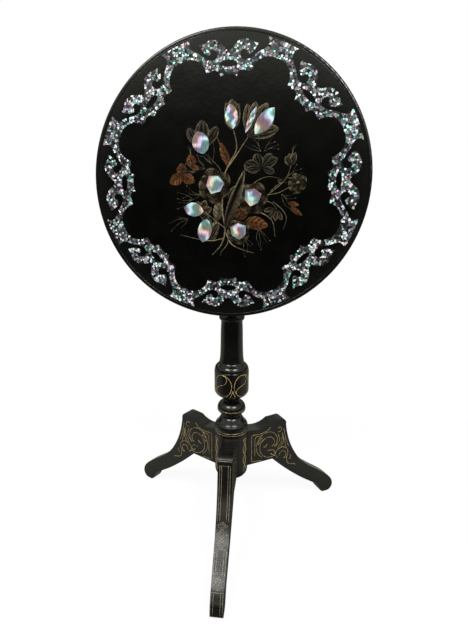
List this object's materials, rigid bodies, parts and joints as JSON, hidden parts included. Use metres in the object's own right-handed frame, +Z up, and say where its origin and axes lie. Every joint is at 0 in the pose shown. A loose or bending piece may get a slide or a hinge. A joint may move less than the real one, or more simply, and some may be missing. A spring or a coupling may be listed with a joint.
{
  "type": "tilt-top pedestal table",
  "caption": "Round black lacquered tilt-top table with a shell mosaic border, on a turned pillar with scrolled legs; the top tips upright and a spring catch locks it flat.",
  "frame": {"origin": "on the pillar's axis at the floor", "axes": "+Z up along the pillar; -Y to the front, the way the upright top faces and the front leg points; +X to the right of someone who faces the front"},
  "size_m": [0.51, 0.4392, 1.021],
  "materials": {
    "lacquered_top": "black lacquer on pressed paper board, polished, slightly worn at the rim",
    "shell_inlay": "pearly shell flakes, white with pink and green lights, polished",
    "ebonised_wood": "black japanned wood with dull gilt lines, satin",
    "underframe_wood": "dark stained hardwood, unpolished",
    "brass": "aged brass",
    "steel": "aged steel"
  },
  "bodies": {
    "base": {"pivot_block": "underframe_wood", "pivot_pin_left": "steel", "pivot_pin_right": "steel", "keeper_plate": "brass", "keeper_screws": "brass", "tenon_wedge": "underframe_wood", "column_shaft": "ebonised_wood", "drum_section": "ebonised_wood", "knop_section": "ebonised_wood", "hub": "ebonised_wood", "leg_front": "ebonised_wood", "leg_right": "ebonised_wood", "leg_left": "ebonised_wood"},
    "top": {"top_panel": "lacquered_top", "shell_border_1": "shell_inlay", "shell_border_2": "shell_inlay", "shell_border_3": "shell_inlay", "shell_border_4": "shell_inlay", "shell_border_5": "shell_inlay", "shell_border_6": "shell_inlay", "shell_border_7": "shell_inlay", "shell_border_8": "shell_inlay", "shell_petals": "shell_inlay", "bearer_right": "underframe_wood", "bearer_left": "underframe_wood", "bearer_screws": "steel", "catch_case": "brass", "catch_spring": "steel", "catch_screws": "brass"},
    "bolt": {"catch_bolt": "brass", "catch_knob": "brass"}
  },
  "joints": [
    {"name": "top_tilt", "type": "hinge", "parent": "base", "child": "top", "pos_m": [0, -0.058, 0.708], "axis": [-1, 0, 0], "range_deg": [0, 90]},
    {"name": "bolt_slide", "type": "slide", "parent": "top", "child": "bolt", "axis": [0, 0, 1], "range_m": [0, 0.008], "stiffness_N_per_m": 300, "springref_m": -0.01, "deforming": ["catch_spring"]}
  ]
}
